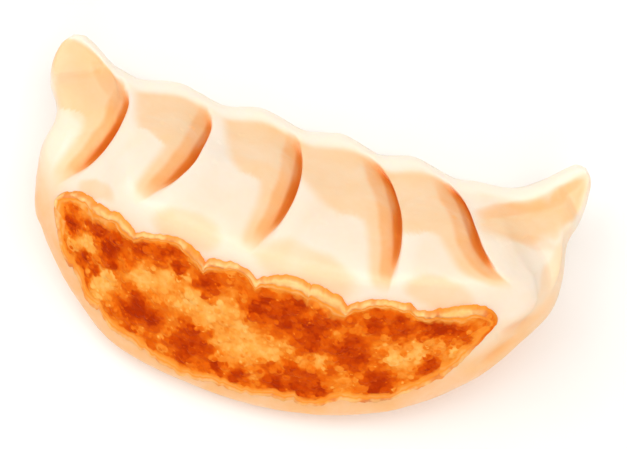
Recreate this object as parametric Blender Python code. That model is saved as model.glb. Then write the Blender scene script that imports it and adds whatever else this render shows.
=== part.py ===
"""A pan-fried dumpling: a round sheet of dough folded over its filling as a half moon,
pleated five times on one side, pinched into a pointed ear at each end, and fried on its base.

It lies on its plain back with the pleats and the browned base up, as dumplings are served.
The shape is worked out in the frame of the folded half moon, in millimetres:
x runs along the dumpling, v from the rounded fold up to the pinched seam, w out of the pleated side.
"""

import math

import bmesh
import bpy
import numpy as np
from mathutils import Vector, noise

MM = 0.001

# The half moon
BELLY_HALF_LENGTH = 38.7
BELLY_DEPTH = 28.0  # from its middle line down to the fold
SEAM_HEIGHT = 13.9  # from its middle line up to the seam
SEAM_FALL = 0.053  # slope of the seam from the left ear down to the right one
SEAM_WAVE = 0.6  # the seam's edge stands up before each pleat and dips after it
END_RISE = 4.5  # the ends come forward by this much
FOLD_LIFT = 5.6  # the fold comes forward by this much

# Thickness on both sides of the half moon
RIM_THICKNESS = 3.0
RIM_ROUNDING = 1.5
RIM_LIP = 0.35  # the pinched edge stands this proud of the sheet below it
FRONT_SWELL = 8.6  # even swell of the pleated side
FRONT_BELLY = 12.5  # further swell over the filling
BACK_SWELL = 5.6
PINCH_FROM = 0.8  # the pleated side leaves the pinched seam over this stretch
PINCH_TO = 9.0

# The plate below and the pan's flat
REST_TILT = 10.0  # degrees between the half moon and the plate
REST_DEPTH = 3.0  # from the half moon's middle line down to the plate
REST_ROUNDING = 0.05
PAN_ANGLE = 41.0  # degrees between the half moon and the fried base
PAN_OFFSET = 23.1  # from the half moon's middle line to the fried base
PAN_BOW = 90.0  # radius of the slight bow along the fried base
PAN_ROUNDING = 2.0
PAN_END_ROUNDING = 6.0

# Ears: place along the seam, the rim's x and v there, the fold's x and v there
LEFT_EAR = (
    (-1.00, -39.6, 18.6, -39.6, 18.6),
    (-0.975, -38.0, 18.8, -40.9, 17.0),
    (-0.94, -36.1, 18.0, -41.5, 14.4),
    (-0.90, -34.3, 16.8, -41.1, 11.0),
    (-0.86, -32.6, 15.8, -39.2, 6.5),
    (-0.82, -31.1, 15.4, -39.4, 1.0),
    (-0.77, -29.3, 15.4, -38.6, -6.4),
)
RIGHT_EAR = (
    (0.77, 29.4, 12.7, 38.2, -3.4),
    (0.81, 31.0, 13.4, 39.1, 1.2),
    (0.86, 33.1, 15.0, 38.4, 6.8),
    (0.90, 34.7, 16.4, 39.5, 10.3),
    (0.94, 36.2, 17.7, 40.1, 14.1),
    (0.975, 37.4, 18.4, 39.8, 16.7),
    (1.00, 38.7, 18.2, 38.7, 18.2),
)
ARC_PLACES = (-0.68, -0.59, -0.50, -0.38, -0.2, 0.0, 0.2, 0.38, 0.52, 0.63, 0.71)
ARC_SPREAD = 98.0  # degrees round the fold for one unit of place
ARC_SHIFT = -0.9
LEFT_SAG = 1.7  # the belly hangs a little lower on its left
RIM_HALF_LENGTH = 38.0

# Pleats: place along the seam, length of the open crease, sideways offsets of the crease at each quarter of the way
CREASES = (
    (-0.780, 17.8, -1.9, 0.1, 2.4, 4.2, 5.1),
    (-0.453, 16.2, -1.7, 1.3, 3.2, 3.1, 1.1),
    (-0.150, 18.2, -0.3, 2.9, 5.0, 5.3, 4.2),
    (0.185, 18.6, -1.0, 2.8, 5.5, 6.3, 6.0),
    (0.505, 14.9, -1.8, 1.7, 3.8, 5.3, 7.9),
)
CREASE_FROM = 2.2  # from the rim down to the open part of the crease
CREASE_LENGTH = 17.0
# Across a pleat: distance from the crease, lean to the side, height of the panels, depth of the open crease
PLEAT_SECTION = (
    (-9.0, 0.0, 0.0, 0.0),
    (-4.5, 0.0, -0.3, 0.0),
    (-2.2, 0.0, -0.75, 0.0),
    (-1.1, 0.0, -1.05, -0.05),
    (-0.6, 0.1, -1.15, -0.4),
    (-0.15, 0.45, -1.15, -1.7),
    (0.15, 0.5, -1.0, -2.1),
    (0.5, 0.1, -0.5, -1.3),
    (0.85, -0.35, 0.25, -0.4),
    (1.25, -0.5, 0.9, 0.0),
    (1.8, -0.35, 1.3, 0.0),
    (2.6, -0.1, 1.45, 0.0),
    (4.0, 0.0, 1.2, 0.0),
    (6.5, 0.0, 0.5, 0.0),
    (10.0, 0.0, 0.0, 0.0),
)
END_TUCK = ((32.2, -8.4), (35.6, -5.0))  # a small fold in the dough below the right ear
END_TUCK_DEPTH = 0.5

# The fried base's edges as seen square to the half moon: x and v of each notch between two arcs, how far the arc
# after it bulges out, and the share of the arc's width where it peaks
UPPER_ARCS = (
    (-34.8, -6.3, 2.0, 0.32), (-28.0, -4.6, 0.9, 0.55), (-21.7, -7.0, 1.9, 0.62), (-11.2, -8.6, 1.4, 0.45), (-3.2, -8.9, 1.25, 0.5),
    (4.6, -8.1, 0.9, 0.45), (10.2, -9.5, 1.15, 0.5), (19.7, -7.7, 2.1, 0.74), (31.3, -6.5, 0.0, 0.5),
)
LOWER_ARCS = (
    (-34.8, -6.3, 0.4, 0.5), (-33.5, -9.8, 0.6, 0.5), (-32.4, -12.4, 0.6, 0.5), (-30.2, -14.4, 1.1, 0.6), (-25.2, -19.8, 1.0, 0.5),
    (-17.3, -23.7, 0.9, 0.45), (-8.4, -25.7, 0.7, 0.6), (2.3, -25.5, 0.4, 0.5), (5.6, -25.3, 0.9, 0.4), (12.0, -23.4, 0.7, 0.5),
    (19.8, -21.2, 0.4, 0.5), (25.0, -17.0, 1.2, 0.45), (31.3, -6.5, 0.0, 0.5),
)
CRUST_LIP = 0.75
CRUST_LIP_WIDTH = 1.3
CRAG_HEIGHT = 0.55
CRAG_SIZE = 5.0

RINGS = 104
FRONT_ROWS = 34
BACK_ROWS = 16


def smooth_step(low, high, value):
    share = np.clip((value - low) / (high - low), 0, 1)
    return share * share * (3 - 2 * share)


def curve_through(places, values, at):
    """A smooth curve through a few values, one for each place."""
    places = np.asarray(places, float)
    values = np.asarray(values, float)
    slopes = np.gradient(values, places)
    first = np.clip(np.searchsorted(places, at, side="right") - 1, 0, len(places) - 2)
    span = places[first + 1] - places[first]
    t = np.clip((at - places[first]) / span, 0, 1)
    return (
        values[first] * (1 + 2 * t) * (1 - t) ** 2
        + slopes[first] * span * t * (1 - t) ** 2
        + values[first + 1] * t * t * (3 - 2 * t)
        - slopes[first + 1] * span * t * t * (1 - t)
    )


def along_quarters(quarters, at):
    """Reads each column of values, given at 0, 1/4, 1/2, 3/4 and 1, at its own place."""
    last = len(quarters) - 1
    at = np.clip(at, 0, 1) * last
    first = np.minimum(at.astype(int), last - 1)
    t = at - first
    slopes = np.gradient(quarters, axis=0)
    column = np.arange(len(at))
    low, high = quarters[first, column], quarters[first + 1, column]
    return (
        low * (1 + 2 * t) * (1 - t) ** 2
        + slopes[first, column] * t * (1 - t) ** 2
        + high * t * t * (3 - 2 * t)
        - slopes[first + 1, column] * t * t * (1 - t)
    )


def fractal(points, size, octaves):
    """Uneven relief between about -1 and 1, with lumps of the given size."""
    return np.array([noise.fractal(Vector(p) / size, 0.9, 2.1, octaves) for p in points])


def half_moon():
    """Rows of place, rim point and fold point from the left ear to the right one."""
    rows = list(LEFT_EAR)
    for place in ARC_PLACES:
        turn = math.radians(ARC_SPREAD * place)
        rim_x = RIM_HALF_LENGTH * place
        rim_v = SEAM_HEIGHT - SEAM_FALL * rim_x
        fold_x = ARC_SHIFT + BELLY_HALF_LENGTH * math.sin(turn)
        sag = LEFT_SAG * math.exp(-(((fold_x + 24) / 9) ** 2))
        rows.append((place, rim_x, rim_v, fold_x, -BELLY_DEPTH * math.cos(turn) - sag))
    rows += RIGHT_EAR
    return np.array(rows)


def seam_wave(place):
    wave = np.zeros_like(place)
    for crease in CREASES:
        ahead = RIM_HALF_LENGTH * (place - crease[0])
        wave += np.exp(-(((ahead + 3.5) / 2.6) ** 2)) - np.exp(-(((ahead - 2.9) / 2.4) ** 2))
    return SEAM_WAVE * wave


def sheet(place, share):
    """The half moon's point at a place along the seam and a share of the way from rim to fold."""
    rows = half_moon()
    rim_x, rim_v, fold_x, fold_v = (curve_through(rows[:, 0], rows[:, i], place) for i in (1, 2, 3, 4))
    rim_v = rim_v + seam_wave(place)
    x = rim_x + (fold_x - rim_x) * share
    v = rim_v + (fold_v - rim_v) * share
    reach = np.hypot(fold_x - rim_x, fold_v - rim_v)
    creases = np.array(CREASES)
    ends = np.concatenate([[-1.0], creases[:, 0], [1.0]])
    quarters = np.stack([curve_through(ends, np.concatenate([[0], creases[:, i], [0]]), place) for i in range(2, 7)])
    down = share * np.maximum(reach, 36) / CREASE_LENGTH
    return x + along_quarters(quarters, down) * (1 - smooth_step(0.6, 0.97, share)), v, reach


def pleats(place, share, reach):
    """How far the pleats stand out, how far each ridge leans over its crease, and how open the crease is."""
    height = np.zeros_like(place)
    lean = np.zeros_like(place)
    open_crease = np.zeros_like(place)
    down = share * reach
    panel = smooth_step(0.4, 5.0, down) * (1 - smooth_step(0.55 * CREASE_LENGTH, 1.18 * CREASE_LENGTH, down))
    section = np.array(PLEAT_SECTION)
    for crease in CREASES:
        across = RIM_HALF_LENGTH * (place - crease[0]) * (1 + 0.4 * share)
        across = np.clip(across, section[0, 0], section[-1, 0])
        along = np.clip((down - CREASE_FROM) / (crease[1] - CREASE_FROM), 0, 1)
        opening = np.sin(np.pi * along**0.95) ** 0.8
        height += panel * curve_through(section[:, 0], section[:, 2], across)
        slot = curve_through(section[:, 0], section[:, 3], across)
        height += opening * slot
        lean += opening * curve_through(section[:, 0], section[:, 1], across)
        open_crease = np.maximum(open_crease, opening * np.clip(-slot / 1.6, 0, 1))
    return height, lean, open_crease


def body(place, turn):
    """The plump dumpling before pan and plate press it, for a place and a turn round the sheet."""
    front = turn <= np.pi
    share = (1 - np.cos(turn)) / 2
    x, v, reach = sheet(place, share)
    down = share * reach
    edge = np.clip(np.minimum(down, reach - down) / RIM_ROUNDING, 0, 1)
    plate = RIM_THICKNESS / 2 * np.sqrt(np.maximum(1 - (1 - edge) ** 2, 0))
    plate -= RIM_LIP * smooth_step(1.2, 3.0, down) * (1 - smooth_step(0.6, 0.9, share))
    round_off = np.sqrt(np.maximum(1 - (2 * share - 1) ** 2, 0))
    over_filling = np.sin(np.pi * share) ** 2
    swell = np.sqrt(np.maximum(1 - (np.abs(place) / 0.90) ** np.where(place < 0, 4.5, 3.0), 0))
    belly = np.maximum(1 - (np.abs(place + 0.035) / 0.78) ** 3, 0)
    leave = smooth_step(PINCH_FROM, PINCH_TO, down)
    middle = FOLD_LIFT * share * swell + END_RISE * (x / BELLY_HALF_LENGTH) ** 2
    w_front = middle + plate + leave * (FRONT_SWELL * swell * round_off + FRONT_BELLY * belly * over_filling)
    w_back = middle - plate - BACK_SWELL * swell * round_off * smooth_step(0, 9, down)
    relief, lean, crease = pleats(place, share, reach)
    return (
        np.stack([x, v, np.where(front, w_front, w_back)], 1),
        np.where(front, relief, 0),
        np.where(front, lean, 0),
        np.where(front, crease, 0),
    )


def outline(arcs, x, out):
    """An edge made of broad arcs that meet in notches, and how much longer it is than its run along x."""
    arcs = np.array(arcs)
    first = np.clip(np.searchsorted(arcs[:, 0], x, side="right") - 1, 0, len(arcs) - 2)
    t = np.clip((x - arcs[first, 0]) / (arcs[first + 1, 0] - arcs[first, 0]), 0, 1)
    fall = arcs[first + 1, 1] - arcs[first, 1]
    bulge = np.sin(np.pi * t ** (np.log(0.5) / np.log(arcs[first, 3]))) ** 0.6
    return arcs[first, 1] + fall * t + out * arcs[first, 2] * bulge, np.hypot(1, fall / (arcs[first + 1, 0] - arcs[first, 0]))


def crust_edges(x, v):
    """Distances into the fried base from its upper and from its lower edge, negative outside."""
    depths = []
    for arcs, out in ((UPPER_ARCS, 1), (LOWER_ARCS, -1)):
        inside = np.clip(x, arcs[0][0], arcs[-1][0])
        edge, stretch = outline(arcs, inside, out)
        depths.append(out * (edge - v) / stretch - np.abs(x - inside))
    return depths


def press(value, rounding):
    """Stops a value at zero, with a rounded turn before it."""
    near = (value + rounding) ** 2 / (4 * rounding)
    return np.where(value < -rounding, 0, np.where(value > rounding, value, near))


def fry(points):
    """Presses the points against the pan's flat, more softly towards the ends, and returns the direction out of it."""
    a = math.radians(PAN_ANGLE)
    out = np.array([0, -math.sin(a), math.cos(a)])
    beyond = points @ out - PAN_OFFSET + points[:, 0] ** 2 / (2 * PAN_BOW)
    rounding = PAN_ROUNDING + PAN_END_ROUNDING * smooth_step(18, 38, np.abs(points[:, 0]))
    return points - np.outer(beyond + press(-beyond, rounding), out), out


def dumpling_points(place, turn, octaves):
    """Every surface point in millimetres on the plate, with the share of crust and of crease there."""
    points, relief, lean, crease = body(place, turn)
    points[:, 2] += relief
    points[:, 0] += lean

    front = np.sin(turn) > 0
    points, out = fry(points)
    top, bottom = crust_edges(points[:, 0], points[:, 1])
    depth = np.where(front, np.minimum(top, bottom), -9)
    crust = smooth_step(-0.15, 0.15, depth)
    lip = smooth_step(-0.2, 0.15, depth) * (1 - smooth_step(0.35 * CRUST_LIP_WIDTH, 1.3 * CRUST_LIP_WIDTH, depth))
    points += np.outer(CRUST_LIP * lip, out)
    fried = np.nonzero(depth > 0.3)[0]
    crags = np.zeros(len(points))
    crags[fried] = fractal(points[fried], CRAG_SIZE, octaves)
    points += np.outer(CRAG_HEIGHT * crags * smooth_step(0.3, 1.4, depth), out)

    (x1, v1), (x2, v2) = END_TUCK
    run = np.array([x2 - x1, v2 - v1])
    t = np.clip(((points[:, 0] - x1) * run[0] + (points[:, 1] - v1) * run[1]) / (run @ run), 0, 1)
    far = np.hypot(points[:, 0] - x1 - t * run[0], points[:, 1] - v1 - t * run[1])
    tuck = END_TUCK_DEPTH * np.exp(-((far / 0.7) ** 2)) * smooth_step(-6, 4, points[:, 2])
    points += np.outer(tuck, np.array([-0.4, 0.2, -0.7]))

    t = math.radians(REST_TILT)
    y = points[:, 1] * math.cos(t) - points[:, 2] * math.sin(t)
    z = points[:, 1] * math.sin(t) + points[:, 2] * math.cos(t) + REST_DEPTH
    return np.stack([points[:, 0], y, press(z, REST_ROUNDING)], 1), crust, crease


def ring_places(rings):
    """Places of the rings, closer together at the creases and near the ears' tips."""
    fine = np.linspace(-1, 1, 4001)
    density = np.ones_like(fine)
    for crease in CREASES:
        density += 6.0 * np.exp(-(((fine - crease[0]) / 0.022) ** 2)) + np.exp(-(((fine - crease[0]) / 0.09) ** 2))
    density += 3.0 * np.exp(-((1 - np.abs(fine)) / 0.03))
    total = np.concatenate([[0], np.cumsum((density[1:] + density[:-1]) / 2)])
    return np.interp(np.linspace(0, total[-1], rings + 1), total, fine)


def row_turns(places, front_rows, back_rows):
    """Turns round the sheet for every ring, with rows laid along both edges of the fried base."""
    fine = np.linspace(0.02, np.pi - 0.02, 500)
    tops = np.full(len(places), np.nan)
    bottoms = np.full(len(places), np.nan)
    for i, place in enumerate(places):
        points = fry(body(np.full_like(fine, place), fine)[0])[0]
        top, bottom = crust_edges(points[:, 0], points[:, 1])
        inside = np.nonzero(np.minimum(top, bottom) > 0)[0]
        if len(inside) > 3:
            tops[i], bottoms[i] = fine[inside[0]], fine[inside[-1]]
    known = np.nonzero(~np.isnan(tops))[0]
    middle = (tops[known[[0, -1]]] + bottoms[known[[0, -1]]]) / 2
    stations = np.concatenate([[-1.0], places[known], [1.0]])
    tops = np.interp(places, stations, np.concatenate([[middle[0]], tops[known], [middle[1]]]))
    bottoms = np.interp(places, stations, np.concatenate([[middle[0] + 0.3], bottoms[known], [middle[1] + 0.3]]))
    bottoms = np.minimum(np.maximum(bottoms, tops + 0.12), np.pi - 0.15)
    turns = []
    for top, bottom in zip(tops, bottoms):
        rim = np.arccos(1 - 2 * min(RIM_ROUNDING * 1.2 / 40, 0.2))
        lip = 0.06
        stops = [0, rim, top - 0.01, top + 0.025, top + lip, bottom - lip, bottom - 0.025, bottom + 0.01, np.pi]
        rows = [0, 0.09, 0.47, 0.50, 0.56, 0.79, 0.85, 0.88, 1.0]
        stops = np.maximum.accumulate(np.array(stops) + np.arange(len(stops)) * 1e-4)
        front = np.interp(np.arange(front_rows) / front_rows, rows, stops)
        back = np.pi * (1 + np.arange(back_rows) / back_rows)
        turns.append(np.concatenate([front, back]))
    return np.array(turns)


def make_dumpling(name, rings, front_rows, back_rows, octaves):
    around = front_rows + back_rows
    ball = bmesh.new()
    bmesh.ops.create_uvsphere(ball, u_segments=around, v_segments=rings, radius=1.0)
    places = ring_places(rings)
    turns = row_turns(places, front_rows, back_rows)
    co = np.array([v.co for v in ball.verts])
    ring = np.rint(np.arccos(np.clip(co[:, 2], -1, 1)) / np.pi * rings).astype(int)
    row = np.rint(np.mod(np.arctan2(co[:, 1], co[:, 0]), 2 * np.pi) / (2 * np.pi) * around).astype(int) % around
    points, crust, crease = dumpling_points(places[ring], turns[ring, row], octaves)
    low, high = points.min(axis=0), points.max(axis=0)
    points -= [(low[0] + high[0]) / 2, (low[1] + high[1]) / 2, low[2]]
    for vert, point in zip(ball.verts, points):
        vert.co = Vector(point) * MM
    if ball.calc_volume(signed=True) < 0:
        bmesh.ops.reverse_faces(ball, faces=ball.faces)
    mesh = bpy.data.meshes.new(name)
    ball.to_mesh(mesh)
    ball.free()
    mesh.shade_smooth()
    dumpling = bpy.data.objects.new(name, mesh)
    bpy.context.scene.collection.objects.link(dumpling)
    return dumpling, crust, crease, (low, high)


for old in list(bpy.data.objects):
    bpy.data.objects.remove(old)
make_dumpling("dumpling", RINGS, FRONT_ROWS, BACK_ROWS, 2)
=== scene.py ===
"""A pan-fried dumpling: a round of wheat dough folded over its filling as a half moon, pleated five
times on one side, pinched into a pointed ear at each end and fried on its base.

It lies on its plain back. Each piece is shaped in millimetres in the frame of the folded half moon:
x runs along the dumpling, v from the rounded fold up to the pinched seam, w out of the pleated side.
"""

import math

import bmesh
import bpy
import numpy as np
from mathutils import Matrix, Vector, noise
from mathutils.bvhtree import BVHTree


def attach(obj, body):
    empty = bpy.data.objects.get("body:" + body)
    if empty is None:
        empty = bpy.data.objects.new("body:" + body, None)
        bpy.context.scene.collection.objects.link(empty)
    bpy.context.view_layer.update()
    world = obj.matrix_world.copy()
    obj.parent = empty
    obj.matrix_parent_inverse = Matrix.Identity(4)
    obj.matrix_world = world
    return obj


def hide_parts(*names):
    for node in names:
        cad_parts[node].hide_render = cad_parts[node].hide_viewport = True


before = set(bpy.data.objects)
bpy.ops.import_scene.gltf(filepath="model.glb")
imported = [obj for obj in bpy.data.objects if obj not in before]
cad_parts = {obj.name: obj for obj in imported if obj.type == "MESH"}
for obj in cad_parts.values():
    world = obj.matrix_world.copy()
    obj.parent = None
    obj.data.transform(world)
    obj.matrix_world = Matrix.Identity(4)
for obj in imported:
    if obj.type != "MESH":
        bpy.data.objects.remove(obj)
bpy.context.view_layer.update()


# THE FOLDED DOUGH
# One round of thin wheat dough, folded in half over the filling and steamed until it turns glossy and
# a little translucent. The near side is gathered into five pleats that lean to the left, and the seam
# is pinched to a flat rim with an ear at each end. The plain back has settled flat where it lies.

MM = 0.001
BELLY_HALF_LENGTH = 38.7
BELLY_DEPTH = 28.0  # from the half moon's middle line down to the fold
SEAM_HEIGHT = 13.9  # from the middle line up to the seam
SEAM_FALL = 0.053  # slope of the seam from the left ear down to the right one
SEAM_WAVE = 0.6  # the seam's edge stands up before each pleat and dips after it
WAVE_RISE = (3.5, 2.6)  # how far before the pleat, half width
WAVE_DIP = (2.9, 2.4)  # how far after the pleat, half width
RIM_HALF_LENGTH = 38.0
RIM_THICKNESS = 3.0
RIM_ROUNDING = 1.5
RIM_LIP = 0.35  # the pinched edge stands this proud of the sheet below it
FRONT_SWELL = 8.6  # even swell of the pleated side
FRONT_BELLY = 12.5  # further swell over the filling
SWELL_END = 0.90  # place along the seam where the even swell ends
SWELL_LEFT_POWER = 4.5  # the swell stays full for longer towards the left ear
SWELL_RIGHT_POWER = 3.0
BELLY_MIDDLE = -0.035
BELLY_END = 0.78
BACK_SWELL = 5.6
END_RISE = 4.5  # the ears come forward by this much
FOLD_LIFT = 5.6  # and the fold by this much
PAN_ANGLE = math.radians(41)  # between the half moon and the fried base
PAN_OFFSET = 23.1  # from the middle line to the fried base
PAN_BOW = 90.0  # radius of the slight bow along the fried base
REST_TILT = math.radians(10)  # between the half moon and the table
REST_DEPTH = 3.0  # from the middle line down to the table
REST_ROUNDING = 0.05
# Ears: place along the seam, the rim's x and v there, the fold's x and v there
LEFT_EAR = (
    (-1.00, -39.6, 18.6, -39.6, 18.6),
    (-0.975, -38.0, 18.8, -40.9, 17.0),
    (-0.94, -36.1, 18.0, -41.5, 14.4),
    (-0.90, -34.3, 16.8, -41.1, 11.0),
    (-0.86, -32.6, 15.8, -38.7, 6.5),
    (-0.82, -31.1, 15.4, -39.4, 1.0),
    (-0.77, -29.3, 15.4, -38.6, -6.4),
)
RIGHT_EAR = (
    (0.77, 29.4, 12.7, 38.8, -3.4),
    (0.81, 31.0, 13.4, 39.3, 1.2),
    (0.86, 33.1, 15.0, 38.8, 6.8),
    (0.90, 34.7, 16.4, 39.9, 10.3),
    (0.94, 36.2, 17.7, 40.1, 14.1),
    (0.975, 37.4, 18.4, 39.8, 16.7),
    (1.00, 38.7, 18.2, 38.7, 18.2),
)
ARC_PLACES = (-0.68, -0.59, -0.50, -0.38, -0.2, 0.0, 0.2, 0.38, 0.52, 0.63, 0.71)
ARC_SPREAD = 98.0  # degrees round the fold for one unit of place
ARC_SHIFT = -0.9
LEFT_SAG = 1.7  # the belly hangs a little lower on its left
# The sheet's rulings bend aside with the creases: place along the seam, sideways offsets at each
# quarter of the way
BENDS = (
    (-0.780, -1.9, 0.1, 2.4, 4.2, 5.1),
    (-0.453, -1.7, 1.3, 3.2, 3.1, 1.1),
    (-0.150, -0.3, 2.9, 5.0, 5.3, 4.2),
    (0.185, -1.0, 2.8, 5.5, 6.3, 6.0),
    (0.505, -1.8, 1.7, 3.8, 5.3, 7.9),
)
BEND_LENGTH = 17.0
BEND_REACH = 36.0  # shorter rulings bend as if they were this long
BEND_ENDS = (-1.0, 0.88)  # places past which the rulings run straight
CREASE_RUN_ON = 8.0  # a crease's line is carried on this far past its ends
CREASE_SHIFT = 0.1  # the crease itself lies this far to the right of its line
# Creases: x and v down each one, where the pleat on its right folds over the panel on its left
CREASES = (
    ((-30.5, 12.3), (-29.3, 10.0), (-28.9, 7.3), (-29.6, 4.4), (-31.2, 1.4), (-33.2, -1.1)),
    ((-17.8, 12.0), (-16.9, 10.0), (-16.5, 7.2), (-16.7, 4.9), (-17.8, 2.6), (-20.0, -0.3)),
    ((-4.0, 11.3), (-2.5, 8.4), (-1.7, 5.6), (-1.7, 2.8), (-2.4, -0.1), (-3.6, -2.8)),
    ((8.2, 11.0), (10.6, 9.0), (12.6, 6.5), (14.0, 3.6), (14.7, 0.6), (14.8, -4.0)),
    ((19.1, 10.6), (21.5, 9.1), (23.3, 7.3), (24.7, 5.1), (26.1, 2.8), (29.0, -0.5)),
)
# Across a pleat: distance from the crease, lean to the side, height of the panels, depth of the open
# crease
PLEAT_SECTION = (
    (-9.0, 0.0, 0.0, 0.0),
    (-4.5, 0.0, -0.3, 0.0),
    (-2.2, 0.0, -0.75, 0.0),
    (-1.4, 0.0, -0.95, -0.05),
    (-0.9, 0.0, -1.05, -0.45),
    (-0.4, 0.1, -1.1, -1.35),
    (0.0, 0.3, -1.1, -2.1),
    (0.35, 0.25, -0.8, -1.9),
    (0.6, -0.1, -0.2, -0.8),
    (0.85, -0.35, 0.4, -0.2),
    (1.2, -0.5, 0.9, 0.0),
    (1.8, -0.35, 1.3, 0.0),
    (2.7, -0.1, 1.45, 0.0),
    (4.0, 0.0, 1.2, 0.0),
    (6.5, 0.0, 0.5, 0.0),
    (10.0, 0.0, 0.0, 0.0),
)
# How far soft and deep shade reach to the left of a crease: share of the way down it, width
SHADE_REACH = ((-0.3, 9.5), (0.0, 9.3), (0.3, 8.0), (0.5, 5.0), (0.9, 3.6), (1.15, 2.2), (1.3, 0.8))
DEEP_SHADE_REACH = ((-0.1, 0.9), (0.1, 2.3), (0.6, 2.9), (1.0, 1.6), (1.2, 0.6))
END_TUCKS = (  # small folds in the dough below the right ear: from, to, depth, width
    ((32.2, -8.4), (35.6, -5.0), 0.5, 0.65),
    ((30.6, -13.6), (34.4, -8.6), 0.4, 0.6),
)
DOUGH_RINGS = 400
DOUGH_FRONT_ROWS = 170
DOUGH_BACK_ROWS = 60


def smooth_step(low, high, value):
    share = np.clip((value - low) / (high - low), 0, 1)
    return share * share * (3 - 2 * share)


def curve_through(places, values, at):
    """A smooth curve through a few values, one for each place."""
    places, values = np.asarray(places, float), np.asarray(values, float)
    slopes = np.gradient(values, places)
    first = np.clip(np.searchsorted(places, at, side="right") - 1, 0, len(places) - 2)
    span = places[first + 1] - places[first]
    t = np.clip((at - places[first]) / span, 0, 1)
    start = values[first] * (1 + 2 * t) * (1 - t) ** 2 + slopes[first] * span * t * (1 - t) ** 2
    return start + values[first + 1] * t * t * (3 - 2 * t) - slopes[first + 1] * span * t * t * (1 - t)


def along_quarters(quarters, at):
    """Reads each column of values, given at 0, 1/4, 1/2, 3/4 and 1, at its own place."""
    last = len(quarters) - 1
    at = np.clip(at, 0, 1) * last
    first = np.minimum(at.astype(int), last - 1)
    t = at - first
    slopes = np.gradient(quarters, axis=0)
    column = np.arange(len(at))
    start = quarters[first, column] * (1 + 2 * t) * (1 - t) ** 2 + slopes[first, column] * t * (1 - t) ** 2
    end = quarters[first + 1, column] * t * t * (3 - 2 * t) - slopes[first + 1, column] * t * t * (1 - t)
    return start + end


def lumps(points, size, octaves, seed=0.0):
    """Uneven relief between about -1 and 1, with lumps of the given size in millimetres."""
    shift = Vector((seed, 1.7 * seed, -seed))
    return np.array([noise.fractal(Vector(p) / size + shift, 0.9, 2.1, octaves) for p in points])


def half_moon():
    """Rows of place, rim point and fold point from the left ear to the right one."""
    rows = list(LEFT_EAR)
    for place in ARC_PLACES:
        turn = math.radians(ARC_SPREAD * place)
        rim_x = RIM_HALF_LENGTH * place
        rim_v = SEAM_HEIGHT - SEAM_FALL * rim_x
        fold_x = ARC_SHIFT + BELLY_HALF_LENGTH * math.sin(turn)
        sag = LEFT_SAG * math.exp(-(((fold_x + 24) / 9) ** 2))
        rows.append((place, rim_x, rim_v, fold_x, -BELLY_DEPTH * math.cos(turn) - sag))
    rows += RIGHT_EAR
    return np.array(rows)


def sheet(place, share):
    """The half moon's point at a place along the seam and a share of the way from rim to fold."""
    rows = half_moon()
    rim_x, rim_v, fold_x, fold_v = (curve_through(rows[:, 0], rows[:, i], place) for i in (1, 2, 3, 4))
    bends = np.array(BENDS)
    for bend in bends:
        ahead = RIM_HALF_LENGTH * (place - bend[0])
        rise = np.exp(-(((ahead + WAVE_RISE[0]) / WAVE_RISE[1]) ** 2))
        dip = np.exp(-(((ahead - WAVE_DIP[0]) / WAVE_DIP[1]) ** 2))
        rim_v = rim_v + SEAM_WAVE * (rise - dip)
    reach = np.hypot(fold_x - rim_x, fold_v - rim_v)
    places = np.concatenate([BEND_ENDS[:1], bends[:, 0], BEND_ENDS[1:]])
    quarters = [curve_through(places, np.concatenate([[0], bends[:, i], [0]]), place) for i in range(1, 6)]
    aside = along_quarters(np.stack(quarters), share * np.maximum(reach, BEND_REACH) / BEND_LENGTH)
    aside = aside * (1 - smooth_step(0.6, 0.97, share))
    return rim_x + (fold_x - rim_x) * share + aside, rim_v + (fold_v - rim_v) * share, reach


def beside_crease(crease, x, v):
    """How far each point is to the right of a crease, how far down it (0 to 1), and which way is right."""
    corners = np.array(crease)
    run = np.concatenate([[0], np.cumsum(np.hypot(*np.diff(corners, axis=0).T))])
    path = np.stack([curve_through(run, corners[:, i], np.linspace(0, run[-1], 33)) for i in (0, 1)], 1)
    up, on = path[0] - path[1], path[-1] - path[-2]
    above = path[0] + up / np.hypot(*up) * CREASE_RUN_ON
    below = path[-1] + on / np.hypot(*on) * CREASE_RUN_ON
    path = np.concatenate([[above], path, [below]])
    nearest, aside, along = (np.full(len(x), value) for value in (1e9, 0.0, 0.0))
    right = np.zeros((len(x), 2))
    behind = -CREASE_RUN_ON
    for start, end in zip(path[:-1], path[1:]):
        size = np.hypot(*(end - start))
        way = (end - start) / size
        t = np.clip((x - start[0]) * way[0] + (v - start[1]) * way[1], 0, size)
        away = np.hypot(x - start[0] - t * way[0], v - start[1] - t * way[1])
        side = np.sign(way[0] * (v - start[1]) - way[1] * (x - start[0]))
        closer = away < nearest
        nearest = np.where(closer, away, nearest)
        aside = np.where(closer, away * side, aside)
        along = np.where(closer, (behind + t) / run[-1], along)
        right[closer] = (-way[1], way[0])
        behind += size
    return aside - CREASE_SHIFT, along, right


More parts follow.
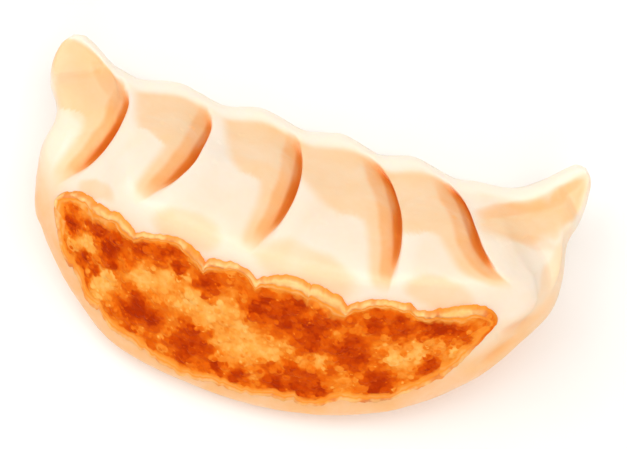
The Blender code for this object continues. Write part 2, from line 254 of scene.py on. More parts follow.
def pleats(x, v, down):
    """The pleats' height, depth and lean at each point, and their painted shade and painted highlight."""
    height, slot, crease_shade, shade, deep_shade, lit = (np.zeros_like(x) for _ in range(6))
    lean = np.zeros((len(x), 3))
    section = np.array(PLEAT_SECTION)
    for crease in CREASES:
        aside, along, right = beside_crease(crease, x, v)
        panel = smooth_step(0.4, 5.0, down) * smooth_step(-0.35, 0.1, along)
        panel *= 1 - smooth_step(0.55, 1.30, along)
        within = np.clip(along, 0, 1)
        bow = np.sin(np.pi * within)
        across = np.clip(aside, section[0, 0], section[-1, 0])
        height += panel * curve_through(section[:, 0], section[:, 2], across)
        slot += bow**0.8 * curve_through(section[:, 0], section[:, 3], across)
        lean[:, :2] += (bow**0.8 * curve_through(section[:, 0], section[:, 1], across))[:, None] * right
        # the dark line down each open crease is painted shade
        line = smooth_step(-0.95 * bow**1.2 - 0.25, -0.75 * bow**1.2 + 0.1, aside)
        line *= 1 - smooth_step(0.1 + 0.3 * bow, 0.25 + 0.4 * bow, aside)
        crease_shade = np.maximum(crease_shade, line * np.clip((bow - 0.15) * 3, 0, 1))
        reach = np.interp(along, *np.transpose(SHADE_REACH))
        left = 1 - smooth_step(0.1, 0.6, aside)
        end = (1 - smooth_step(1.08, 1.3, along)) * smooth_step(1.6, 2.6, down)
        shade = np.maximum(shade, smooth_step(-reach - 0.7, -reach + 0.9, aside) * left * end)
        close = np.interp(along, *np.transpose(DEEP_SHADE_REACH))
        near_line = smooth_step(-close - 0.4, -close + 0.5, aside) * left * smooth_step(-0.2, 0.1, along)
        deep_shade = np.maximum(deep_shade, near_line * (1 - smooth_step(0.95, 1.15, along)))
        # a painted highlight on the ridge just right of each crease
        streak = smooth_step(0.7, 1.3, aside) * (1 - smooth_step(2.2, 3.8, aside))
        lit = np.maximum(lit, streak * smooth_step(-0.05, 0.15, along) * (1 - smooth_step(1.0, 1.35, along)))
    return height, slot, lean, crease_shade, shade, deep_shade, lit


def plump_body(place, turn):
    """The dumpling before pan and table press it, for a place and a turn round the sheet."""
    share = (1 - np.cos(turn)) / 2
    x, v, reach = sheet(place, share)
    down = share * reach
    edge = np.clip(np.minimum(down, reach - down) / RIM_ROUNDING, 0, 1)
    half_rim = RIM_THICKNESS / 2 * np.sqrt(np.maximum(1 - (1 - edge) ** 2, 0))
    half_rim -= RIM_LIP * smooth_step(1.2, 3.0, down) * (1 - smooth_step(0.6, 0.9, share))
    round_off = np.sqrt(np.maximum(1 - (2 * share - 1) ** 2, 0))
    power = np.where(place < 0, SWELL_LEFT_POWER, SWELL_RIGHT_POWER)
    swell = np.sqrt(np.maximum(1 - (np.abs(place) / SWELL_END) ** power, 0))
    belly = np.maximum(1 - (np.abs(place - BELLY_MIDDLE) / BELLY_END) ** 3, 0) * np.sin(np.pi * share) ** 2
    middle = FOLD_LIFT * share * swell + END_RISE * (x / BELLY_HALF_LENGTH) ** 2
    filled = FRONT_SWELL * swell * round_off + FRONT_BELLY * belly
    front = middle + half_rim + smooth_step(0.8, 9.0, down) * filled
    back = middle - half_rim - BACK_SWELL * swell * round_off * smooth_step(0, 9, down)
    return np.stack([x, v, np.where(turn <= np.pi, front, back)], 1), share, reach


def press(value, rounding):
    """Stops a value at zero, with a rounded turn before it."""
    near = (value + rounding) ** 2 / (4 * rounding)
    return np.where(value < -rounding, 0, np.where(value > rounding, value, near))


out_of_pan = np.array([0, -math.sin(PAN_ANGLE), math.cos(PAN_ANGLE)])


def on_table(points):
    """Lays the half moon on the table: its own frame turned to the table's, still in millimetres."""
    y = points[:, 1] * math.cos(REST_TILT) - points[:, 2] * math.sin(REST_TILT)
    z = points[:, 1] * math.sin(REST_TILT) + points[:, 2] * math.cos(REST_TILT) + REST_DEPTH
    return np.stack([points[:, 0], y, press(z, REST_ROUNDING)], 1)


fine = np.linspace(-1, 1, 4001)
density = np.ones_like(fine)
for bend in BENDS:  # rings lie closer together at the creases and near the ears' tips
    density += 2.4 * np.exp(-(((fine - bend[0]) / 0.03) ** 2))
    density += 0.5 * np.exp(-(((fine - bend[0]) / 0.09) ** 2))
density += 1.6 * np.exp(-(((fine + 0.82) / 0.06) ** 2))
density += 2.0 * np.exp(-((1 - np.abs(fine)) / 0.03))
total = np.concatenate([[0], np.cumsum((density[1:] + density[:-1]) / 2)])
ring_places = np.interp(np.linspace(0, total[-1], DOUGH_RINGS + 1), total, fine)
rim_turn, fold_turn = 0.42, 0.25  # rows also lie closer together on the rim and on the fold
front_turns = np.interp(
    np.arange(DOUGH_FRONT_ROWS) / DOUGH_FRONT_ROWS,
    [0, 0.10, 0.90, 1],
    [0, rim_turn, np.pi - fold_turn, np.pi],
)
row_turns = np.concatenate([front_turns, np.pi * (1 + np.arange(DOUGH_BACK_ROWS) / DOUGH_BACK_ROWS)])

ball = bmesh.new()
bmesh.ops.create_uvsphere(ball, u_segments=len(row_turns), v_segments=DOUGH_RINGS, radius=1.0)
corners = np.array([vert.co for vert in ball.verts])
place = ring_places[np.rint(np.arccos(np.clip(corners[:, 2], -1, 1)) / np.pi * DOUGH_RINGS).astype(int)]
around = np.mod(np.arctan2(corners[:, 1], corners[:, 0]), 2 * np.pi) / (2 * np.pi) * len(row_turns)
turn = row_turns[np.rint(around).astype(int) % len(row_turns)]

points, share, reach = plump_body(place, turn)
step = 1e-3
along = plump_body(np.clip(place + step, -1, 1), turn)[0] - plump_body(np.clip(place - step, -1, 1), turn)[0]
across = plump_body(place, turn + step)[0] - plump_body(place, turn - step)[0]
normal = np.cross(across, along)
normal /= np.maximum(np.linalg.norm(normal, axis=1, keepdims=True), 1e-12)
front = turn <= np.pi
down = share * reach
relief, slot, lean, crease_shade, pleat_shade, deep_shade, lit = pleats(points[:, 0], points[:, 1], down)
crease_shade, pleat_shade = crease_shade * front, pleat_shade * front
deep_shade, lit = deep_shade * front, lit * front
points = points + lean * front[:, None]
points[:, 2] += (relief + slot) * front

beyond = points @ out_of_pan - PAN_OFFSET + points[:, 0] ** 2 / (2 * PAN_BOW)
rounding = 2.0 + 6.0 * smooth_step(18, 38, np.abs(points[:, 0]))  # the base's edge is softer towards its ends
points -= np.outer(beyond + press(-beyond, rounding), out_of_pan)

for (x1, v1), (x2, v2), depth, width in END_TUCKS:
    run = np.array([x2 - x1, v2 - v1])
    t = np.clip(((points[:, 0] - x1) * run[0] + (points[:, 1] - v1) * run[1]) / (run @ run), 0, 1)
    far = np.hypot(points[:, 0] - x1 - t * run[0], points[:, 1] - v1 - t * run[1])
    tuck = depth * np.exp(-((far / width) ** 2)) * smooth_step(-6, 4, points[:, 2])
    points += np.outer(tuck, np.array([-0.4, 0.2, -0.7]))
    deep_shade = np.maximum(deep_shade, 0.95 * tuck / depth * np.sin(np.pi * np.clip(t, 0.02, 0.98)))

sheet_points = points.copy()
points = on_table(points)
low, high = points.min(axis=0), points.max(axis=0)
origin = np.array([(low[0] + high[0]) / 2, (low[1] + high[1]) / 2, low[2]])
points -= origin
uneven = lumps(points, 7.0, 2) * 0.12 + lumps(points, 1.6, 2, 3.1) * 0.025  # hand-rolled dough isn't even
points += normal * (uneven * smooth_step(0.05, 0.6, points[:, 2]))[:, None]
points[:, 2] = np.maximum(points[:, 2], 0)
for vert, point in zip(ball.verts, points):
    vert.co = Vector(point) * MM
if ball.calc_volume(signed=True) < 0:
    bmesh.ops.reverse_faces(ball, faces=ball.faces)

dough_shape = BVHTree.FromBMesh(ball)
dough_mesh = bpy.data.meshes.new("dough")
ball.to_mesh(dough_mesh)
ball.free()
dough_mesh.shade_smooth()
dough = bpy.data.objects.new("dough", dough_mesh)
bpy.context.scene.collection.objects.link(dough)


def paint(piece, name, values):
    """Keeps one value between 0 and 1 for each point of the mesh, for the material to read."""
    layer = piece.data.attributes.new(name, "FLOAT", "POINT")
    layer.data.foreach_set("value", np.clip(values, 0, 1).astype(np.float32))


def patches(rows, x, v):
    """Soft oval patches, each a row of x, v, half length, half width and turn in degrees, as one value."""
    value = np.zeros_like(x)
    for px, pv, length, width, turned in rows:
        c, s = math.cos(math.radians(turned)), math.sin(math.radians(turned))
        far = ((x - px) * c + (v - pv) * s) ** 2 / length**2 + ((v - pv) * c - (x - px) * s) ** 2 / width**2
        value = np.maximum(value, 1 - smooth_step(0.55, 1.5, far))
    return value


# Patches of painted shade and painted highlight: x, v, half length, half width, turn
WARM_SHADE_LEFT_EAR = ((-33.2, 11.4, 4.6, 2.3, -52), (-33.0, 8.4, 4.2, 2.4, 0))
WARM_SHADE_RIGHT_EAR = ((31.6, 8.6, 6.6, 3.2, 20), (36.8, 12.0, 5.2, 2.3, 68))
FAINTLY_WARM_SHADE = (
    (-35.6, 12.4, 5.5, 3.8, 75),
    (38.2, 1.0, 2.0, 8.0, -4),
    (35.0, -8.0, 3.0, 6.0, -32),
    (31.5, -10.5, 3.0, 6.0, -42),
)
SHADED_EARS = (
    (-32.6, 13.1, 3.6, 1.3, -36),
    (-31.0, 10.6, 1.2, 2.2, 0),
    (29.5, 9.6, 5.0, 1.3, 22),
    (35.6, 13.4, 3.8, 1.2, 42),
)
FAINTLY_SHADED = ((33.0, 5.8, 4.0, 0.9, 0),)
SHADE_BELOW_CREASES = (
    (-28.6, -3.0, 2.7, 1.7, 0),
    (-14.2, -4.8, 5.0, 2.7, -8),
    (3.4, -6.2, 7.2, 3.2, -8),
    (22.0, -4.6, 4.8, 2.2, 0),
)
PAINTED_HIGHLIGHTS = ((-36.2, 0.0, 4.2, 0.8, 84), (33.8, 1.6, 3.2, 2.2, 60))

wander = lumps(sheet_points, 5.0, 2, 21.0) * 0.8
paint_x, paint_v = sheet_points[:, 0] + wander, sheet_points[:, 1] - wander
below_rim = smooth_step(1.3, 2.6, down) * front
# warm painted shade on the ears' hollow faces and on the right end, which turns away from the light
warm_shade = np.maximum(0.4 * patches(WARM_SHADE_LEFT_EAR, paint_x, paint_v), patches(WARM_SHADE_RIGHT_EAR, paint_x, paint_v))
warm_shade = np.maximum(warm_shade, 0.5 * patches(FAINTLY_WARM_SHADE, paint_x, paint_v)) * below_rim
shaded_ear = patches(SHADED_EARS, paint_x, paint_v)
shaded_ear = np.maximum(shaded_ear, 0.5 * patches(FAINTLY_SHADED, paint_x, paint_v))
deep_shade = np.maximum(deep_shade, 0.5 * shaded_ear * smooth_step(1.3, 2.4, down) * front)
# soft painted shade on the belly below the creases
pleat_shade = np.maximum(pleat_shade, 0.75 * patches(SHADE_BELOW_CREASES, paint_x, paint_v) * front)
# painted highlights on the left belly and on the right end
painted_highlight = patches(PAINTED_HIGHLIGHTS, paint_x, paint_v)
from_fold = reach - down
# painted shade on the strip below the fried base, which faces down and away from the light
underside_shade = np.maximum(1 - smooth_step(0.8, 7.5, from_fold), 1 - front)
underside_shade = underside_shade * smooth_step(-4, 9, -sheet_points[:, 1])
# painted shade in the open creases
paint(dough, "crease", crease_shade)
paint(dough, "pleat_shade", pleat_shade)
paint(dough, "deep_shade", deep_shade)
# the ears' mask holds warm painted shade
paint(dough, "ear", warm_shade)
# painted highlights, kept off the painted shade
paint(dough, "painted_highlight", np.maximum(painted_highlight * front, lit) * (1 - pleat_shade))
# painted highlight along the pinched rim's edge
paint(dough, "rim", 1 - smooth_step(1.1, 2.0, down))
# painted shade on the underside
paint(dough, "underside_shade", underside_shade)


def new_material(name):
    material = bpy.data.materials.new(name)
    material.use_nodes = True
    nodes, links = material.node_tree.nodes, material.node_tree.links
    return material, nodes, links, nodes["Principled BSDF"]


def add(nodes, kind, **settings):
    """Adds a node and sets its properties, and its inputs by name where one has that name."""
    node = nodes.new(kind)
    for key, value in settings.items():
        if key in node.inputs:
            node.inputs[key].default_value = value
        else:
            setattr(node, key, value)
    return node


def srgb(code):
    """A colour written as six hexadecimal digits, as Blender's linear colour."""
    parts = [int(code[i : i + 2], 16) / 255 for i in (0, 2, 4)]
    return [p / 12.92 if p <= 0.04045 else ((p + 0.055) / 1.055) ** 2.4 for p in parts] + [1.0]


def blend_colours(nodes, links, share, first, second):
    """Mixes two colours, each a socket or a colour, by a share."""
    mix = add(nodes, "ShaderNodeMix", data_type="RGBA")
    for socket, value in ((mix.inputs[0], share), (mix.inputs[6], first), (mix.inputs[7], second)):
        if isinstance(value, bpy.types.NodeSocket):
            links.new(value, socket)
        else:
            socket.default_value = value
    return mix.outputs[2]


def sum_up(nodes, links, operation, first, second=0.5, third=0.5):
    """One maths step on sockets or numbers."""
    node = add(nodes, "ShaderNodeMath", operation=operation)
    for socket, value in zip(node.inputs, (first, second, third)):
        if isinstance(value, bpy.types.NodeSocket):
            links.new(value, socket)
        else:
            socket.default_value = value
    return node.outputs[0]


def uneven_tone():
    """Node group: soft cloudy patches with finer grain in them, from 0 to 1 around a middle of 0.5."""
    group = bpy.data.node_groups.new("uneven tone", "ShaderNodeTree")
    for name, start in (("Patch Size", 6.0), ("Contrast", 1.0), ("Seed", 0.0)):
        socket = group.interface.new_socket(name, in_out="INPUT", socket_type="NodeSocketFloat")
        socket.default_value = start
    group.interface.new_socket("Tone", in_out="OUTPUT", socket_type="NodeSocketFloat")
    nodes, links = group.nodes, group.links
    inputs, outputs = nodes.new("NodeGroupInput"), nodes.new("NodeGroupOutput")
    place = add(nodes, "ShaderNodeTexCoord").outputs["Object"]
    scale = sum_up(nodes, links, "DIVIDE", 1000.0, inputs.outputs["Patch Size"])
    cloud = add(nodes, "ShaderNodeTexNoise", noise_dimensions="4D", Detail=4.0, Roughness=0.55)
    cloud.inputs["Distortion"].default_value = 0.6
    links.new(place, cloud.inputs["Vector"])
    links.new(scale, cloud.inputs["Scale"])
    links.new(inputs.outputs["Seed"], cloud.inputs["W"])
    centred = sum_up(nodes, links, "SUBTRACT", cloud.outputs[0], 0.5)
    spread = sum_up(nodes, links, "MULTIPLY", centred, inputs.outputs["Contrast"])
    tone = sum_up(nodes, links, "ADD", spread, 0.5)
    tone.node.use_clamp = True
    links.new(tone, outputs.inputs["Tone"])
    return group


tone_group = uneven_tone()


def place_tone(nodes, size, contrast, seed):
    node = add(nodes, "ShaderNodeGroup", node_tree=tone_group)
    node.inputs["Patch Size"].default_value = size
    node.inputs["Contrast"].default_value = contrast
    node.inputs["Seed"].default_value = seed
    return node.outputs["Tone"]


material, nodes, links, shader = new_material("steamed wheat dough")
masks = {}
for mask in ("crease", "pleat_shade", "deep_shade", "ear", "painted_highlight", "rim", "underside_shade"):
    masks[mask] = add(nodes, "ShaderNodeAttribute", attribute_name=mask).outputs["Fac"]
wide = place_tone(nodes, 14.0, 1.6, 0.0)
soft = place_tone(nodes, 5.0, 1.8, 4.0)
colour = blend_colours(nodes, links, wide, srgb("FFE7CE"), srgb("FFF0E3"))
colour = blend_colours(nodes, links, sum_up(nodes, links, "MULTIPLY", soft, 0.22), colour, srgb("FEDDB2"))
soft_share = sum_up(nodes, links, "MULTIPLY_ADD", soft, 0.4, 0.6)
# the tones below are a painted highlight, then painted shade on the underside, the ears, the pleats and in
# the folds
for mask, strength, code in (
    ("painted_highlight", 0.5, "FFF0E2"),
    ("underside_shade", 0.95, "FFB462"),
    ("ear", 0.95, "FECA8C"),
    ("pleat_shade", 0.95, "FFCD94"),
    ("deep_shade", 0.95, "FDB066"),
):
    share_of = sum_up(nodes, links, "MULTIPLY", masks[mask], strength)
    share_of = sum_up(nodes, links, "MULTIPLY", share_of, soft_share)
    colour = blend_colours(nodes, links, share_of, colour, srgb(code))
# painted shade in the open creases, a deep orange brown
colour = blend_colours(nodes, links, masks["crease"], colour, srgb("EA8C32"))
# painted highlight along the pinched rim, where its edge catches the light
rim_highlight = sum_up(nodes, links, "MULTIPLY", masks["rim"], 0.9)
colour = blend_colours(nodes, links, rim_highlight, colour, srgb("FFF3E4"))
links.new(colour, shader.inputs["Base Color"])
grain = add(nodes, "ShaderNodeTexNoise", Scale=900.0, Detail=4.0, Roughness=0.6)
pores = add(nodes, "ShaderNodeTexVoronoi", feature="SMOOTH_F1", Scale=520.0, Smoothness=0.6)
place_socket = add(nodes, "ShaderNodeTexCoord").outputs["Object"]
links.new(place_socket, grain.inputs["Vector"])
links.new(place_socket, pores.inputs["Vector"])
fine_relief = sum_up(nodes, links, "MULTIPLY_ADD", pores.outputs["Distance"], 0.5, grain.outputs[0])
bump = add(nodes, "ShaderNodeBump", Strength=0.35, Distance=0.00012)
links.new(fine_relief, bump.inputs["Height"])
links.new(bump.outputs["Normal"], shader.inputs["Normal"])
rough = add(nodes, "ShaderNodeMapRange")
links.new(soft, rough.inputs["Value"])
rough.inputs["To Min"].default_value = 0.38
rough.inputs["To Max"].default_value = 0.52
links.new(rough.outputs[0], shader.inputs["Roughness"])
shader.inputs["Subsurface Weight"].default_value = 0.35
shader.inputs["Subsurface Radius"].default_value = (1.0, 0.62, 0.38)
shader.inputs["Subsurface Scale"].default_value = 0.0022
shader.inputs["Coat Weight"].default_value = 0.12
shader.inputs["Coat Roughness"].default_value = 0.22
shader.inputs["Specular IOR Level"].default_value = 0.4
dough.data.materials.append(material)
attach(dough, "root")
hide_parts("dumpling")


# THE FRIED BASE
# The side that stood in the pan: the dough there has blistered and browned in oil, golden between
# darker scorched patches, and the starchy water round it has dried to a thin crisp lip with a lacy,
# scalloped edge. It is one skin with the dough and sinks into it.

# Outlines: x and v of each notch between two arcs, how far the arc after it bulges out, and where it peaks
UPPER_ARCS = (
    (-34.8, -6.3, 2.0, 0.32),
    (-28.0, -4.6, 0.9, 0.55),
    (-21.4, -7.1, 1.9, 0.62),
    (-10.7, -8.7, 1.4, 0.45),
    (-3.0, -9.2, 1.25, 0.5),
    (4.6, -8.1, 0.9, 0.45),
    (10.2, -9.5, 1.15, 0.5),
    (19.7, -7.7, 2.1, 0.74),
    (31.3, -6.5, 0.0, 0.5),
)
LOWER_ARCS = (
    (-34.8, -6.3, 0.4, 0.5),
    (-33.5, -9.8, 0.6, 0.5),
    (-32.4, -12.4, 0.6, 0.5),
    (-30.2, -14.4, 1.1, 0.6),
    (-25.2, -19.8, 1.0, 0.5),
    (-17.3, -23.7, 0.9, 0.45),
    (-8.4, -25.7, 0.7, 0.6),
    (2.3, -25.5, 0.4, 0.5),
    (5.6, -25.3, 0.9, 0.4),
    (12.0, -23.4, 0.7, 0.5),
    (19.8, -21.2, 0.4, 0.5),
    (25.0, -17.0, 1.2, 0.45),
    (31.3, -6.5, 0.0, 0.5),
)
LIP_WIDTHS = (  # along the upper edge: x, width
    (-34.8, 1.3), (-31.0, 1.9), (-24.0, 1.8), (-19.5, 0.9), (-15.9, 1.0), (-12.3, 1.6),
    (-8.4, 1.3), (-5.5, 0.9), (-3.3, 1.3), (2.7, 2.1), (5.5, 2.5), (8.3, 2.3),
    (10.6, 1.5), (16.4, 1.1), (20.0, 1.3), (25.4, 2.1), (28.1, 2.0), (31.3, 1.4),
)
LOWER_LIP_WIDTH = 1.2
# Scorched and pale patches: x, v, radius
SCORCHED = (
    (-26.8, -8.1, 1.5), (-24.7, -10.4, 1.9), (-19.6, -18.0, 2.0), (-17.0, -18.6, 1.3), (-11.1, -20.9, 2.2),
    (-9.0, -21.4, 1.4), (-6.4, -23.0, 1.0), (-16.8, -8.9, 1.6), (-20.5, -9.0, 1.3), (-9.8, -11.4, 1.8),
    (-13.9, -10.4, 0.9), (-2.4, -13.3, 1.6), (2.3, -13.2, 2.4), (6.1, -14.6, 2.6), (12.3, -16.1, 2.9),
    (9.2, -12.0, 1.4), (14.4, -11.2, 1.5), (18.5, -10.6, 1.7), (22.8, -9.2, 2.4), (26.3, -9.0, 1.4),
    (17.3, -19.5, 2.2), (23.6, -15.0, 1.2), (5.8, -22.6, 2.9), (2.4, -22.8, 1.9), (8.6, -22.6, 1.6),
    (-2.7, -23.6, 1.2), (-31.1, -8.4, 1.1), (-28.4, -12.6, 1.1), (-27.0, -14.4, 0.8), (3.5, -10.6, 1.3),
    (-1.0, -11.6, 1.2),
)
PALE = (
    (-27.9, -10.4, 1.4), (-25.6, -15.0, 1.6), (-15.8, -12.3, 2.3), (-12.0, -13.9, 2.4), (-8.2, -15.0, 2.6),
    (-4.3, -16.4, 2.9), (-6.0, -19.2, 1.7), (-2.0, -18.8, 2.4), (1.3, -19.4, 2.6), (4.4, -19.4, 2.3),
    (10.4, -13.6, 1.3), (21.6, -13.0, 2.3), (24.0, -12.0, 1.6), (18.7, -15.8, 1.9), (14.4, -18.2, 1.7),
    (12.0, -20.4, 1.3), (-25.9, -17.8, 0.9), (26.2, -12.5, 1.1), (8.1, -18.6, 1.7), (-19.5, -13.5, 1.5),
)
# Across the crisp lip: share of its width from the edge inwards, height, share of pale dough, share of amber
LIP_SECTION = (
    (-0.02, 0.05, 0.0, 1.0),
    (0.06, 0.35, 0.15, 1.0),
    (0.17, 0.68, 0.9, 0.3),
    (0.34, 0.82, 1.0, 0.0),
    (0.50, 0.72, 0.8, 0.2),
    (0.64, 0.62, 0.0, 1.0),
    (0.79, 0.60, 0.45, 0.8),
    (0.92, 0.48, 0.1, 0.9),
    (1.08, 0.22, 0.0, 0.7),
    (1.30, 0.05, 0.0, 0.0),
)
# Layers of round blisters: spacing, radius, seed, difference in colour, height
BLISTERS = (
    (2.4, 1.15, 1.0, 0.11, 0.16),
    (1.4, 0.75, 4.0, 0.13, 0.16),
    (0.85, 0.42, 7.0, 0.14, 0.11),
)
CRUST_RINGS = 460
CRUST_TOP_ROWS = 170
CRUST_UNDER_ROWS = 18


def outline(arcs, x, out):
    """An edge made of broad arcs that meet in notches, and how much longer it is than its run along x."""
    arcs = np.array(arcs)
    first = np.clip(np.searchsorted(arcs[:, 0], x, side="right") - 1, 0, len(arcs) - 2)
    t = np.clip((x - arcs[first, 0]) / (arcs[first + 1, 0] - arcs[first, 0]), 0, 1)
    fall = arcs[first + 1, 1] - arcs[first, 1]
    rounded = np.sin(np.pi * t ** (np.log(0.5) / np.log(arcs[first, 3]))) ** 0.6
    edge = arcs[first, 1] + fall * t + out * arcs[first, 2] * rounded
    return edge, np.hypot(1, fall / (arcs[first + 1, 0] - arcs[first, 0]))


def blisters(points, spacing, radius, seed):
    """Overlapping blisters: the middle of the top one at each point, how far inside it, two chance values."""
    shift = Vector((seed, -seed, 2 * seed))
    middle = points.copy()
    inside, chance, tint = np.zeros(len(points)), np.zeros(len(points)), np.zeros(len(points))
    for i, p in enumerate(points):
        for distance, centre in zip(*noise.voronoi(Vector(p) / spacing + shift)):
            luck = noise.cell(centre * 9.7) * 0.5 + 0.5
            reach = radius * (0.55 + 0.6 * luck)
            if distance * spacing < reach and luck > chance[i]:
                middle[i] = np.array(centre - shift) * spacing
                inside[i], chance[i], tint[i] = 1 - distance * spacing / reach, luck, noise.cell(centre * 5.3)
    return middle, inside, chance, tint


def browning(points):
    """How deeply the pan has browned each point, from 0, pale gold, to 1, scorched."""
    x, v = points[:, 0] + 0.9 * lumps(points, 2.0, 3, 2.0), points[:, 1] + 0.9 * lumps(points, 2.0, 3, 6.0)
    scorch, pale = np.zeros(len(points)), np.zeros(len(points))
    for px, pv, radius in SCORCHED:
        scorch = np.maximum(scorch, np.exp(-0.7 * (np.hypot(x - px, v - pv) / radius) ** 2.4))
    for px, pv, radius in PALE:
        pale = np.maximum(pale, np.exp(-0.6 * (np.hypot(x - px, v - pv) / radius) ** 2))
    return 0.54 + 0.43 * scorch - 0.38 * pale * (1 - scorch) + 0.20 * lumps(points, 2.6, 3, 12.0)


crust_rows = CRUST_TOP_ROWS + CRUST_UNDER_ROWS
skin = bmesh.new()
bmesh.ops.create_uvsphere(skin, u_segments=crust_rows, v_segments=CRUST_RINGS, radius=1.0)
corners = np.array([vert.co for vert in skin.verts])
ring = np.rint(np.arccos(np.clip(corners[:, 2], -1, 1)) / np.pi * CRUST_RINGS)
around = np.mod(np.arctan2(corners[:, 1], corners[:, 0]), 2 * np.pi) / (2 * np.pi) * crust_rows
row = np.rint(around) % crust_rows
station = (1 - np.cos(np.pi * ring / CRUST_RINGS)) / 2 * 0.35 + ring / CRUST_RINGS * 0.65
left, right = UPPER_ARCS[0][0], UPPER_ARCS[-1][0]
x = left + (right - left) * station
(top_v, top_stretch), (bottom_v, bottom_stretch) = outline(UPPER_ARCS, x, 1), outline(LOWER_ARCS, x, -1)
outer = row <= CRUST_TOP_ROWS
across = np.where(outer, row / CRUST_TOP_ROWS, 1 - (row - CRUST_TOP_ROWS) / CRUST_UNDER_ROWS)
across = across - 0.07 * np.sin(2 * np.pi * across)
v = top_v + (bottom_v - top_v) * across
w = (PAN_OFFSET - x**2 / (2 * PAN_BOW) + v * math.sin(PAN_ANGLE)) / math.cos(PAN_ANGLE)
flat = np.stack([x, v, w], 1)

near_edge = np.minimum(across, 1 - across) * (top_v - bottom_v)
ends = np.minimum(x - left, right - x)
near_edge = np.minimum(near_edge, ends * 1.2)
upper_side = across < 0.5
edge_line = np.stack([x, np.where(upper_side, top_v, bottom_v), np.zeros_like(x)], 1)
ragged = np.zeros_like(x)
for size, seed, depth in ((4.0, 9.0, 0.2), (1.8, 5.0, 0.38), (0.8, 3.0, 0.2)):
    ragged += lumps(edge_line, size, 2, seed) * depth
outward = np.where(upper_side, 0.9, -1.0) * np.exp(-((near_edge / 1.6) ** 2)) * smooth_step(0, 2.5, ends)
flat[:, 1] += outward * ragged
flat[:, 2] += outward * ragged * math.tan(PAN_ANGLE)

lay_out = np.array([
    0.0,
    -math.sin(PAN_ANGLE) * math.cos(REST_TILT) - math.cos(PAN_ANGLE) * math.sin(REST_TILT),
    -math.sin(PAN_ANGLE) * math.sin(REST_TILT) + math.cos(PAN_ANGLE) * math.cos(REST_TILT),
])
lay_w = np.array([0.0, -math.sin(REST_TILT), math.cos(REST_TILT)])
lay = on_table(flat) - origin
surface, facing = np.empty_like(flat), np.empty_like(flat)
for i, p in enumerate(lay):
    hit, hit_normal = dough_shape.ray_cast(Vector(p + lay_w * 12) * MM, Vector(-lay_w), 0.04)[:2]
    surface[i] = np.array(hit) / MM if hit is not None else p
    facing[i] = np.array(hit_normal) + 1.5 * lay_out if hit is not None else lay_out
facing /= np.linalg.norm(facing, axis=1, keepdims=True)

tone = browning(flat)
blister_height, blister_mask = np.zeros(len(flat)), np.zeros(len(flat))
for spacing, radius, seed, contrast, rise in BLISTERS:
    middle, inside, chance, tint = blisters(flat, spacing, radius, seed)
    there = smooth_step(0.0, 0.14, inside) * (0.8 + 0.2 * chance)
    tone += there * (browning(middle) + contrast * tint - tone)
    blister_height += rise * np.sqrt(np.clip(1 - (1 - inside) ** 2, 0, 1)) * (0.4 + chance) * there
    blister_mask = np.maximum(blister_mask, there * chance)
inside, chance = blisters(flat, 1.0, 0.2, 11.0)[1:3]
tone -= 0.3 * smooth_step(0.0, 0.5, inside) * (chance > 0.6)  # tiny glassy bubbles

widths = np.array(LIP_WIDTHS)
upper_width = curve_through(widths[:, 0], widths[:, 1], x) * top_stretch
lip_width = np.where(upper_side, upper_width, LOWER_LIP_WIDTH * bottom_stretch)
depth = near_edge / (lip_width * (1 + 0.35 * lumps(flat, 2.6, 3, 15.0)))
section = np.array(LIP_SECTION)
lip_height, lip_pale, lip_amber = (curve_through(section[:, 0], section[:, i], depth) for i in (1, 2, 3))
lip_height = lip_height * np.where(upper_side, np.clip(lip_width / 1.7, 0.45, 0.95), 0.5)
lip_height = lip_height * (1 + 0.35 * lumps(flat, 1.5, 2, 18.0))
lip_pale = lip_pale * np.where(upper_side, 1.0, 0.7)
lip_pale = lip_pale * (0.35 + 0.65 * smooth_step(-0.5, 0.15, lumps(flat, 2.2, 3, 23.0)))
lip_pale *= 1 - smooth_step(27.5, 30.0, x)  # the right tip of the lip is amber all over
inner = smooth_step(0.9, 1.25, depth)
height = lip_height * (1 - inner) + 0.12
height += inner * (0.14 + 0.25 * lumps(flat, 5.0, 4, 0.0) + blister_height + 0.07 * lumps(flat, 0.7, 2, 8.0))
height = np.where(near_edge > 0.2, np.maximum(height, 0.06), height * smooth_step(0.0, 0.2, near_edge) - 0.12)
height = np.where(outer, height, -0.12 - 0.6 * smooth_step(0.0, 1.0, near_edge))
points = surface + height[:, None] * facing
for vert, point in zip(skin.verts, points):
    vert.co = Vector(point) * MM
if skin.calc_volume(signed=True) < 0:
    bmesh.ops.reverse_faces(skin, faces=skin.faces)
crust_mesh = bpy.data.meshes.new("crust")
skin.to_mesh(crust_mesh)
skin.free()
crust_mesh.shade_smooth()
crust = bpy.data.objects.new("crust", crust_mesh)
bpy.context.scene.collection.objects.link(crust)
paint(crust, "browning", tone)
paint(crust, "lip_pale", lip_pale * (1 - inner))
paint(crust, "lip_amber", lip_amber)
paint(crust, "blister", blister_mask * inner)

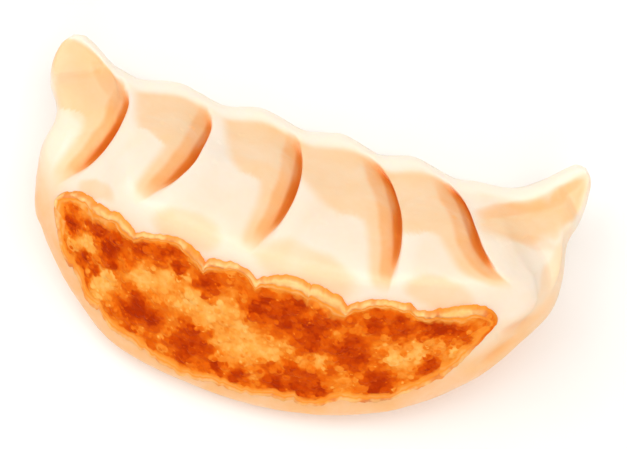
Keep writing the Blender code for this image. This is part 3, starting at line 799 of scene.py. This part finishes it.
material, nodes, links, shader = new_material("browned crust")
masks = {}
for mask in ("browning", "lip_pale", "lip_amber", "blister"):
    masks[mask] = add(nodes, "ShaderNodeAttribute", attribute_name=mask).outputs["Fac"]
place_socket = add(nodes, "ShaderNodeTexCoord").outputs["Object"]
tone = masks["browning"]
for size, weight, seed in ((1.6, 0.16, 7.0), (0.5, 0.10, 9.0)):
    centred = sum_up(nodes, links, "SUBTRACT", place_tone(nodes, size, 1.6, seed), 0.5)
    tone = sum_up(nodes, links, "MULTIPLY_ADD", centred, weight, tone)
ramp = add(nodes, "ShaderNodeValToRGB")
ramp.color_ramp.elements[0].position, ramp.color_ramp.elements[-1].position = 0.10, 1.0
for position in (0.28, 0.45, 0.60, 0.76, 0.90):
    ramp.color_ramp.elements.new(position)
BROWNS = ("FFC066", "FEA644", "F3831E", "E86608", "D65003", "C64001", "B43200")
for stop, code in zip(ramp.color_ramp.elements, BROWNS):
    stop.color = srgb(code)
links.new(tone, ramp.inputs[0])
amber_share = sum_up(nodes, links, "MULTIPLY", masks["lip_amber"], 0.9)
colour = blend_colours(nodes, links, amber_share, ramp.outputs[0], srgb("FF9C34"))
lip_tone = place_tone(nodes, 3.0, 2.0, 11.0)
pale_colour = blend_colours(nodes, links, lip_tone, srgb("FFDC9C"), srgb("FEBE6A"))
colour = blend_colours(nodes, links, masks["lip_pale"], colour, pale_colour)
links.new(colour, shader.inputs["Base Color"])
fine_grain = add(nodes, "ShaderNodeTexNoise", Scale=1400.0, Detail=5.0, Roughness=0.7)
links.new(place_socket, fine_grain.inputs["Vector"])
bump = add(nodes, "ShaderNodeBump", Strength=0.5, Distance=0.00025)
links.new(fine_grain.outputs[0], bump.inputs["Height"])
links.new(bump.outputs["Normal"], shader.inputs["Normal"])
rough = add(nodes, "ShaderNodeMapRange")
links.new(masks["blister"], rough.inputs["Value"])
rough.inputs["To Min"].default_value = 0.5
rough.inputs["To Max"].default_value = 0.3
links.new(rough.outputs[0], shader.inputs["Roughness"])
shader.inputs["Specular IOR Level"].default_value = 0.02
shader.inputs["Subsurface Weight"].default_value = 0.12
shader.inputs["Subsurface Radius"].default_value = (1.0, 0.4, 0.15)
shader.inputs["Subsurface Scale"].default_value = 0.0012
crust.data.materials.append(material)
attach(crust, "root")
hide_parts("dumpling")


# THE FLOOR
# A plain table top with a matt white finish, wide enough to fill the picture. The dumpling lies
# straight on it.

table = bmesh.new()
bmesh.ops.create_grid(table, x_segments=1, y_segments=1, size=2.0)
floor_mesh = bpy.data.meshes.new("floor")
table.to_mesh(floor_mesh)
table.free()
floor = bpy.data.objects.new("floor", floor_mesh)
bpy.context.scene.collection.objects.link(floor)
material, nodes, links, shader = new_material("white table top")
shader.inputs["Base Color"].default_value = (0.98, 0.98, 0.98, 1)
shader.inputs["Roughness"].default_value = 0.9
shader.inputs["Specular IOR Level"].default_value = 0.1
floor.data.materials.append(material)


# THE LIGHT AND THE CAMERA
# Three broad soft lamps, one from the upper left, one overhead and one low in front of the fried base,
# in a warm, pale room. The camera looks down on the dumpling and is turned a little to its right.


def add_lamp(name, energy, size, place):
    lamp = bpy.data.lights.new(name, "AREA")
    lamp.energy, lamp.size = energy, size
    holder = bpy.data.objects.new(name, lamp)
    holder.location = place
    holder.rotation_euler = (-Vector(place)).to_track_quat("-Z", "Y").to_euler()
    bpy.context.scene.collection.objects.link(holder)


add_lamp("key lamp", 1.8, 0.5, (-0.34, 0.16, 0.55))
add_lamp("top lamp", 2.0, 0.6, (0.18, 0.04, 0.72))
add_lamp("base lamp", 1.2, 0.5, (0.18, -0.52, 0.42))
world = bpy.data.worlds.new("studio")
bpy.context.scene.world = world
world.use_nodes = True
world.node_tree.nodes["Background"].inputs["Color"].default_value = (1.0, 0.92, 0.82, 1)
world.node_tree.nodes["Background"].inputs["Strength"].default_value = 0.46

azimuth, elevation = math.radians(14.7), math.radians(80)
level = math.cos(elevation)
back = Vector((math.sin(azimuth) * level, -math.cos(azimuth) * level, math.sin(elevation)))
lens, sensor, picture_width = 135.0, 36.0, 627
pixels_per_mm = 6.91
distance = lens / sensor * picture_width / pixels_per_mm
aim_x, aim_v, aim_w = 2.27, 0.2, 12.0
aim = np.array([
    aim_x,
    aim_v * math.cos(REST_TILT) - aim_w * math.sin(REST_TILT),
    aim_v * math.sin(REST_TILT) + aim_w * math.cos(REST_TILT) + REST_DEPTH,
])
camera_data = bpy.data.cameras.new("camera")
camera_data.lens, camera_data.sensor_width = lens, sensor
camera_data.clip_start = 0.01
camera = bpy.data.objects.new("camera", camera_data)
camera.location = (Vector(aim - origin) + back * distance) * MM
camera.rotation_euler = (-back).to_track_quat("-Z", "Y").to_euler()
bpy.context.scene.collection.objects.link(camera)
bpy.context.scene.camera = camera
bpy.context.scene.view_settings.view_transform = "Standard"
